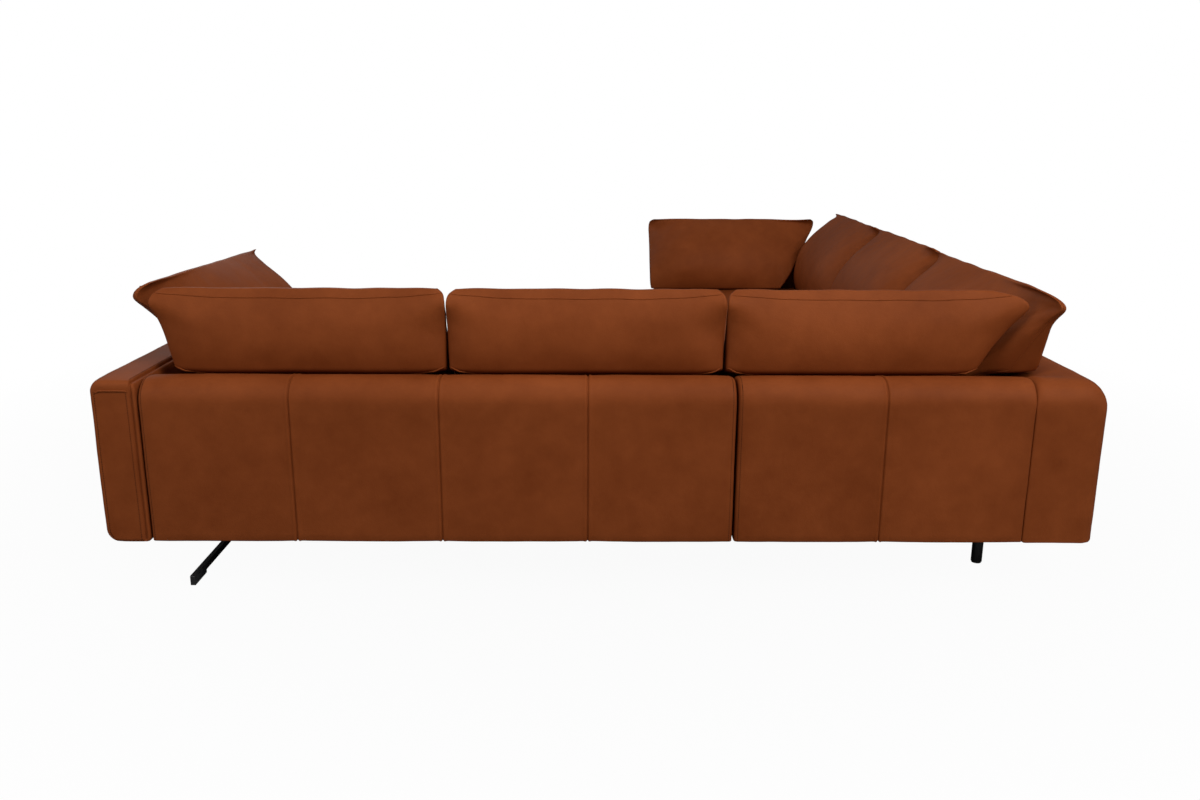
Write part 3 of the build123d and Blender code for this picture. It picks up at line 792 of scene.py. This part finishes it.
class LooseCushion:
    """Pillow resampled from its solid on an even grid, filled out, creased and sewn."""

    def __init__(self, node, directions, crest=None, rest=None, end_reach=0.0,
                 tips=(0, 0), filled=(0, 0)):
        self.node = node
        self.rest = crest if rest is None else rest
        self.tips = tips
        self.filled = filled
        self.end_reach = end_reach
        self.run = Run(node, directions)
        self.body = nodes[node]["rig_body"]
        self.crest = crest
        self.count = 2 * (CUSHION_SAMPLES + END_STRIPS)

    def faces_at_level(self, triangles, z, shares):
        """Rear and front points of the solid at one level."""
        cut = level_cut(triangles, z)
        first = cut[:, :, 0].min() + SOLID_MARGIN
        last = cut[:, :, 0].max() - SOLID_MARGIN
        rear, front = [], []
        for share in shares:
            x = first + (last - first) * share
            a, b = cut[:, 0], cut[:, 1]
            over = ((a[:, 0] - x) * (b[:, 0] - x) <= 0) & (np.abs(a[:, 0] - b[:, 0]) > 1e-9)
            a, b = a[over], b[over]
            y = a[:, 1] + (x - a[:, 0]) * (b[:, 1] - a[:, 1]) / (b[:, 0] - a[:, 0])
            rear.append((x, y.min(), z))
            front.append((x, y.max(), z))
        return rear, front

    def grid(self):
        """Rings from the base to the top edge: rear face, last end, front face, first end."""
        mesh = nodes[self.node].data
        mesh.calc_loop_triangles()
        places = self.run.local(np.array([v.co for v in mesh.vertices]))
        triangles = places[np.array([t.vertices for t in mesh.loop_triangles])]
        low, high = places[:, 2].min(), places[:, 2].max()
        even = np.linspace(0, 1, CUSHION_SAMPLES)
        shares = 0.5 * even + 0.25 * (1 - np.cos(even * math.pi))
        across = np.arange(1, END_STRIPS + 1)[:, None] / (END_STRIPS + 1)
        rings = []
        for level in np.linspace(0, 1, CUSHION_LEVELS):
            share = level_share(level)
            z = low + SOLID_MARGIN + (high - low - 2 * SOLID_MARGIN) * share
            rear, front = (np.array(side) for side in self.faces_at_level(triangles, z, shares))
            rise = min(1.0, share / FOOT_ROUNDING, (1 - share) / TOP_ROUNDING)
            out = END_SWELL * max(0.0, rise) ** 0.5 * np.sin(math.pi * across[:, 0]) ** 0.5
            last = rear[-1] + (front[-1] - rear[-1]) * across
            first = front[0] + (rear[0] - front[0]) * across
            last[:, 0] += out
            first[:, 0] -= out
            rings.append(np.concatenate([rear, last, front[::-1], first]))
        self.shares = shares
        return np.array(rings)

    def places(self):
        """Each column's place along the cushion, 0 to 1, and 1 on the rear to 0 on the front."""
        along = np.concatenate([self.shares, np.ones(END_STRIPS),
                                self.shares[::-1], np.zeros(END_STRIPS)])
        fall = np.linspace(1, 0, END_STRIPS + 2)[1:-1]
        rear = np.concatenate([np.ones(CUSHION_SAMPLES), fall,
                               np.zeros(CUSHION_SAMPLES), fall[::-1]])
        return along, rear

    def shape(self, rings):
        """Smooth the rings, move the ears, and fill the front corners and the rear foot."""
        for _ in range(SMOOTHINGS):
            rings[1:-1] = 0.25 * rings[:-2] + 0.5 * rings[1:-1] + 0.25 * rings[2:]
        along, rear = self.places()
        z = rings[:, :, 2]
        height = (z - self.run.low) / (self.run.high - self.run.low)
        ears = np.exp(-((height - EAR_TIP) / EAR_SPREAD) ** 2)
        for tip, from_end, outward in zip(self.tips, (along, 1 - along), (-1, 1)):
            near = np.clip(1 - from_end / EAR_LENGTH, 0, 1)[None, :]
            rings[:, :, 0] += outward * tip * ears * near ** 2
        for filled, from_end in zip(self.filled, (along, 1 - along)):
            near = np.sin(math.pi * np.clip(from_end / FILL_LENGTH, 0, 1) ** 0.6)[None, :]
            upper = ease(height, 0.30, 0.60) * (1 - ease(height, 0.90, 1.0))
            rings[:, :, 1] += filled * FRONT_FILL * near * upper * (rear < 0.01)[None, :]
        if self.crest is None:
            return rings
        ear = self.run.low + EAR_SHARE * (self.run.high - self.run.low)
        rise = np.clip((z - self.crest) / (ear - self.crest), 0, 1)
        above = ease(z, self.crest - REAR_START, self.crest - REAR_FULL)
        middle = rings[:, CUSHION_SAMPLES // 2, 1][:, None]
        drawn_in = np.maximum(rings[:, :, 1] - middle, 0)
        fuller = REAR_CORNER * (1 - rise) ** 0.7 * above * rear[None, :]
        ends = np.concatenate([np.arange(CUSHION_SAMPLES + END_STRIPS),
                               np.arange(self.count - END_STRIPS, self.count)])
        rings[:, ends, 1] -= (fuller * np.minimum(drawn_in, MOST_DRAWN_IN))[:, ends]
        rings[:, :, 1] -= OVERHANG * (1 - rise) ** 2.1 * above * rear[None, :]
        if self.end_reach:
            towards_end = np.clip(1 - along / REACH_LENGTH, 0, 1)[None, :] ** 1.6
            rings[:, :, 0] -= self.end_reach * (1 - rise) * above * towards_end * rear[None, :]
        return rings

    def held(self):
        """Points that the seams, the seat and the back hold in place."""
        kept = []
        _, rear = self.places()
        for level in range(CUSHION_LEVELS):
            z = self.rings[level, 0, 2]
            for i in range(self.count):
                on_back = rear[i] > 0.99 and z < self.rest + BACK_CONTACT
                at_edge = level in (0, CUSHION_LEVELS - 1) or 0.01 < rear[i] < 0.99
                if at_edge or on_back:
                    kept.append(level * self.count + i)
        return kept

    def swell(self):
        """Fill the cushion: cloth under pressure, held along its seams and limited in travel."""
        points = [self.run.world(*p) for p in self.rings.reshape(-1, 3)]
        piece = new_piece("filling", points, self.mesh_faces(), LEATHER)
        group = piece.vertex_groups.new(name="held")
        group.add(self.held(), 1.0, "REPLACE")
        cloth = piece.modifiers.new("Cloth", "CLOTH")
        settings = cloth.settings
        settings.quality = 4
        settings.mass = 0.3
        settings.tension_stiffness = 18
        settings.compression_stiffness = 18
        settings.bending_stiffness = 1.5
        settings.use_pressure = True
        settings.uniform_pressure_force = 4
        settings.effector_weights.gravity = 0
        settings.vertex_group_mass = "held"
        cloth.collision_settings.use_collision = False
        scene = bpy.context.scene
        for step in range(1, CLOTH_STEPS + 1):
            scene.frame_set(step)
        shaped = piece.evaluated_get(bpy.context.evaluated_depsgraph_get()).data
        after = self.run.local(np.array([v.co for v in shaped.vertices])).reshape(self.rings.shape)
        scene.frame_set(1)
        mesh = piece.data
        bpy.data.objects.remove(piece)
        bpy.data.meshes.remove(mesh)
        travel = after - self.rings
        reach = np.linalg.norm(travel, axis=2, keepdims=True)
        limited = travel * CUSHION_SWELL * np.tanh(reach / CUSHION_SWELL)
        self.rings = self.rings + limited / np.maximum(reach, 1e-9)

    def creases(self, rings):
        """Depth of the leather's creases: gathers along the seams and slack near the ends."""
        along, rear = self.places()
        length = self.run.length
        depth = np.zeros(rings.shape[:2])
        seed = sum(map(ord, self.node)) * 0.37
        for j in range(rings.shape[0]):
            share = level_share(j / (CUSHION_LEVELS - 1))
            for i in range(rings.shape[1]):
                x = along[i] * length
                from_end = min(along[i], 1 - along[i]) * length
                front = rear[i] < 0.5
                gather = math.exp(-(1 - share) / (FRONT_GATHER if front else REAR_GATHER))
                gather *= 1 - ease(share, 0.90, 1.0)
                slack = math.exp(-from_end / SLACK_LENGTH) if rear[i] in (0.0, 1.0) else 0.0
                ridges = noise.noise(Vector((x * RIDGE_WAVES + share * 9, share * 3, seed)))
                folds = noise.noise(Vector((x * FOLD_WAVES, share * 9 + x * 6, seed + 7)))
                broad = noise.noise(Vector((x * BROAD_WAVES, share * 3, seed + 3)))
                depth[j, i] = BROAD_CREASE * broad
                depth[j, i] += (FRONT_RIDGE if front else REAR_RIDGE) * gather * ridges
                depth[j, i] += SLACK_CREASE * slack * folds * (0.3 + 0.7 * share)
        return depth

    def normals(self, rings):
        """Outward directions of the grid's points."""
        round_it = np.roll(rings, -1, 1) - np.roll(rings, 1, 1)
        up = np.gradient(rings, axis=0)
        out = np.cross(round_it, up)
        return out / np.maximum(np.linalg.norm(out, axis=2, keepdims=True), 1e-9)

    def foot_share(self, aside):
        """Height of the seam at the foot of the rear face."""
        return FOOT_SEAM + FOOT_SEAM_RISE * aside ** 7

    def build(self):
        """Mesh piece that stands for the node, with its seams."""
        self.rings = self.shape(self.grid())
        self.swell()
        rings = self.rings
        out = self.normals(rings)
        along, rear = self.places()
        depth = self.creases(rings)
        levels = [level_share(j / (CUSHION_LEVELS - 1)) for j in range(CUSHION_LEVELS)]
        height = np.array(levels)[:, None]
        aside = np.abs(2 * along - 1)[None, :]
        below = self.foot_share(aside) - height
        depth -= FOOT_STEP * ease(below, 0.004, 0.030) * (rear[None, :] > 0.99)
        knife = np.exp(-((rear[None, :] - 0.5) / 0.1) ** 2) * (height < 0.985)
        depth -= KNIFE_DEPTH * knife
        depth *= ease(height, 0.0, 0.06)
        rings = rings + out * depth[:, :, None]
        ridge = np.array([noise.noise(Vector((u * 8, 0.4, len(self.node)))) for u in along])
        rings[:, :, 2] += TOP_WAVE * ridge[None, :] * ease(height, 0.75, 1.0)
        self.rings, self.out = rings, self.normals(rings)
        points = [self.run.world(*p) for p in rings.reshape(-1, 3)]
        self.piece = new_piece("leather_" + self.node, points, self.mesh_faces(), LEATHER)
        smooth = self.piece.modifiers.new("Smooth surface", "SUBSURF")
        smooth.levels = smooth.render_levels = 1
        stands_for(self.piece, self.node)
        self.sew()

    def mesh_faces(self):
        """Quads round the rings, and the base and the top edge closed between the two faces."""
        count, n = self.count, CUSHION_SAMPLES
        faces = []
        for j in range(CUSHION_LEVELS - 1):
            for i in range(count):
                a = j * count + i
                b = j * count + (i + 1) % count
                faces.append([a, b, b + count, a + count])
        for base, flip in ((0, True), ((CUSHION_LEVELS - 1) * count, False)):
            for i in range(n - 1):
                opposite = 2 * n + END_STRIPS - 1 - i
                quad = [base + i, base + i + 1, base + opposite - 1, base + opposite]
                faces.append(quad[::-1] if flip else quad)
            last = [base + n - 1 + k for k in range(END_STRIPS + 2)]
            first = [base + (2 * n + END_STRIPS - 1 + k) % count for k in range(END_STRIPS + 2)]
            for end in (last, first):
                faces.append(end[::-1] if flip else end)
        return faces

    def on_face(self, column, share):
        """Point and outward direction at a column of the grid and a share of the height."""
        level = share_level(share) * (CUSHION_LEVELS - 1)
        below = min(int(level), CUSHION_LEVELS - 2)
        rest = level - below
        spot = self.rings[below, column] * (1 - rest) + self.rings[below + 1, column] * rest
        up = self.out[below, column] * (1 - rest) + self.out[below + 1, column] * rest
        turned = self.run.along * up[0] + self.run.inward * up[1] + Vector((0, 0, up[2]))
        return self.run.world(*spot), turned.normalized()

    def sew(self):
        """Raised seams below the top edge, at the foot of the rear face and up both ends."""
        foot, crest = [], []
        shares = [END_SEAM_START + END_SEAM_SPAN * k / END_SEAM_STEPS for k in range(END_SEAM_STEPS + 1)]
        middles = (CUSHION_SAMPLES + END_STRIPS // 2, self.count - 1 - END_STRIPS // 2)
        ends = [[self.on_face(column, share) for share in shares] for column in middles]
        for i, share in enumerate(self.shares):
            aside = abs(2 * share - 1)
            foot.append(self.on_face(i, self.foot_share(aside)))
            crest.append(self.on_face(i, CREST_SEAM + CREST_SEAM_RISE * aside ** 4))
        lines = [[spot for spot, up in path] for path in [foot, crest] + ends]
        ups = [[up for spot, up in path] for path in [foot, crest] + ends]
        welt("seams_" + self.node, lines, ups, self.body)


def loose_cushions():
    """All loose back and arm cushions."""
    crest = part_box("main_back_cover")[1].z
    arm_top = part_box("main_arm_cover")[1].z
    LooseCushion("main_back_cushion_1", MAIN, crest, tips=(0.006, 0)).build()
    LooseCushion("main_back_cushion_2", MAIN, crest).build()
    LooseCushion("corner_back_cushion", MAIN, crest).build()
    LooseCushion("corner_side_cushion", RETURN, crest, end_reach=0.060, tips=(0.013, 0)).build()
    LooseCushion("return_back_cushion_1", RETURN, crest).build()
    LooseCushion("return_back_cushion_2", RETURN, crest, tips=(0, -0.010), filled=(0, 1)).build()
    LooseCushion("main_arm_cushion", MAIN_ARM, rest=arm_top, tips=(-0.010, 0.016),
                 filled=(1, 0)).build()
    LooseCushion("return_arm_cushion", RETURN_ARM, rest=arm_top).build()


# CAD nodes

def finish_nodes():
    """Materials of all CAD nodes, by their slots."""
    slots = {row["node"]: row["material_slot"] for row in frame["record"]["subparts"]}
    for name, node in nodes.items():
        node.data.materials.clear()
        node.data.materials.append(SLOT_MATERIALS[slots[name]])


# Camera, light and floor

def camera():
    """Camera at the photograph's place, looking at the sofa from behind."""
    right = Vector((math.cos(YAW), -math.sin(YAW), 0))
    level = math.cos(PITCH)
    forward = Vector((math.sin(YAW) * level, math.cos(YAW) * level, -math.sin(PITCH)))
    up = right.cross(forward)
    tilted_right = right * math.cos(ROLL) + up * math.sin(ROLL)
    tilted_up = up * math.cos(ROLL) - right * math.sin(ROLL)
    turn = Matrix.Rotation(math.pi, 3, "Z")
    columns = [turn @ tilted_right, turn @ tilted_up, turn @ -forward]
    matrix = Matrix([[columns[c][r] for c in range(3)] for r in range(3)]).to_4x4()
    matrix.translation = EYE
    data = bpy.data.cameras.new("camera")
    data.lens = LENS
    data.sensor_width = SENSOR
    data.sensor_fit = "HORIZONTAL"
    eye = bpy.data.objects.new("camera", data)
    eye.matrix_world = matrix
    bpy.context.scene.collection.objects.link(eye)
    bpy.context.scene.camera = eye


def lamp(name, place, target, size, power):
    """Soft square light aimed at a point."""
    data = bpy.data.lights.new(name, "AREA")
    data.shape = "SQUARE"
    data.size = size
    data.energy = power
    lit = bpy.data.objects.new(name, data)
    lit.location = place
    lit.rotation_euler = (Vector(target) - Vector(place)).to_track_quat("-Z", "Y").to_euler()
    bpy.context.scene.collection.objects.link(lit)


def surroundings():
    """Surroundings that look white to the camera and light the sofa softly."""
    world = bpy.data.worlds.new("studio")
    bpy.context.scene.world = world
    world.use_nodes = True
    tree = world.node_tree
    light = tree.nodes["Background"]
    socket(light, "Strength", 0.22)
    socket(light, "Color", (1, 1, 1, 1))
    seen = add(tree, "ShaderNodeBackground", Strength=1.0, Color=(1, 1, 1, 1))
    mix = add(tree, "ShaderNodeMixShader")
    path = add(tree, "ShaderNodeLightPath")
    tree.links.new(path.outputs["Is Camera Ray"], mix.inputs[0])
    tree.links.new(light.outputs[0], mix.inputs[1])
    tree.links.new(seen.outputs[0], mix.inputs[2])
    tree.links.new(mix.outputs[0], tree.nodes["World Output"].inputs["Surface"])


def ground():
    """Floor that looks nearly white to the camera and keeps the sofa's shadow."""
    bpy.ops.mesh.primitive_plane_add(size=40)
    floor = bpy.context.object
    floor.name = "floor"
    material, tree, shader = new_material("floor")
    socket(shader, "Base Color", (0.24, 0.24, 0.24, 1))
    socket(shader, "Roughness", 0.9)
    socket(shader, "Specular IOR Level", 0.1)
    glow = add(tree, "ShaderNodeEmission", Strength=1.0)
    mix = add(tree, "ShaderNodeMixShader")
    place = add(tree, "ShaderNodeTexCoord")
    away = add(tree, "ShaderNodeVectorMath", operation="LENGTH")
    fade = add(tree, "ShaderNodeMapRange")
    socket(fade, "From Min", 1.2)
    socket(fade, "From Max", 3.2)
    socket(fade, "To Min", 0.95)
    socket(fade, "To Max", 1.0)
    share = add(tree, "ShaderNodeMath", operation="MULTIPLY")
    path = add(tree, "ShaderNodeLightPath")
    link = tree.links.new
    link(place.outputs["Object"], away.inputs[0])
    link(away.outputs["Value"], fade.inputs["Value"])
    link(path.outputs["Is Camera Ray"], share.inputs[0])
    link(fade.outputs["Result"], share.inputs[1])
    link(share.outputs[0], mix.inputs[0])
    link(shader.outputs[0], mix.inputs[1])
    link(glow.outputs[0], mix.inputs[2])
    link(mix.outputs[0], tree.nodes["Material Output"].inputs["Surface"])
    floor.data.materials.append(material)


def lamps():
    """Three soft lamps behind the sofa, where the camera stands, and one in front."""
    lamp("key", (-2.5, 3.8, 3.1), (-0.3, 1.2, 0.6), size=2.2, power=112)
    lamp("fill", (3.0, 3.4, 2.6), (0.0, 0.8, 0.6), size=2.2, power=56)
    lamp("top", (-0.5, 2.2, 3.8), (-0.2, 1.0, 0.5), size=2.6, power=42)
    lamp("front", (2.0, -3.0, 3.2), (-0.2, 0.2, 0.5), size=2.6, power=38)


back_covers = backs()
arm_covers = arms()
borders()
topstitching(back_covers)
arm_sewing(arm_covers)
seats()
loose_cushions()
finish_nodes()
surroundings()
ground()
lamps()
camera()
bpy.context.scene.view_settings.view_transform = "Standard"
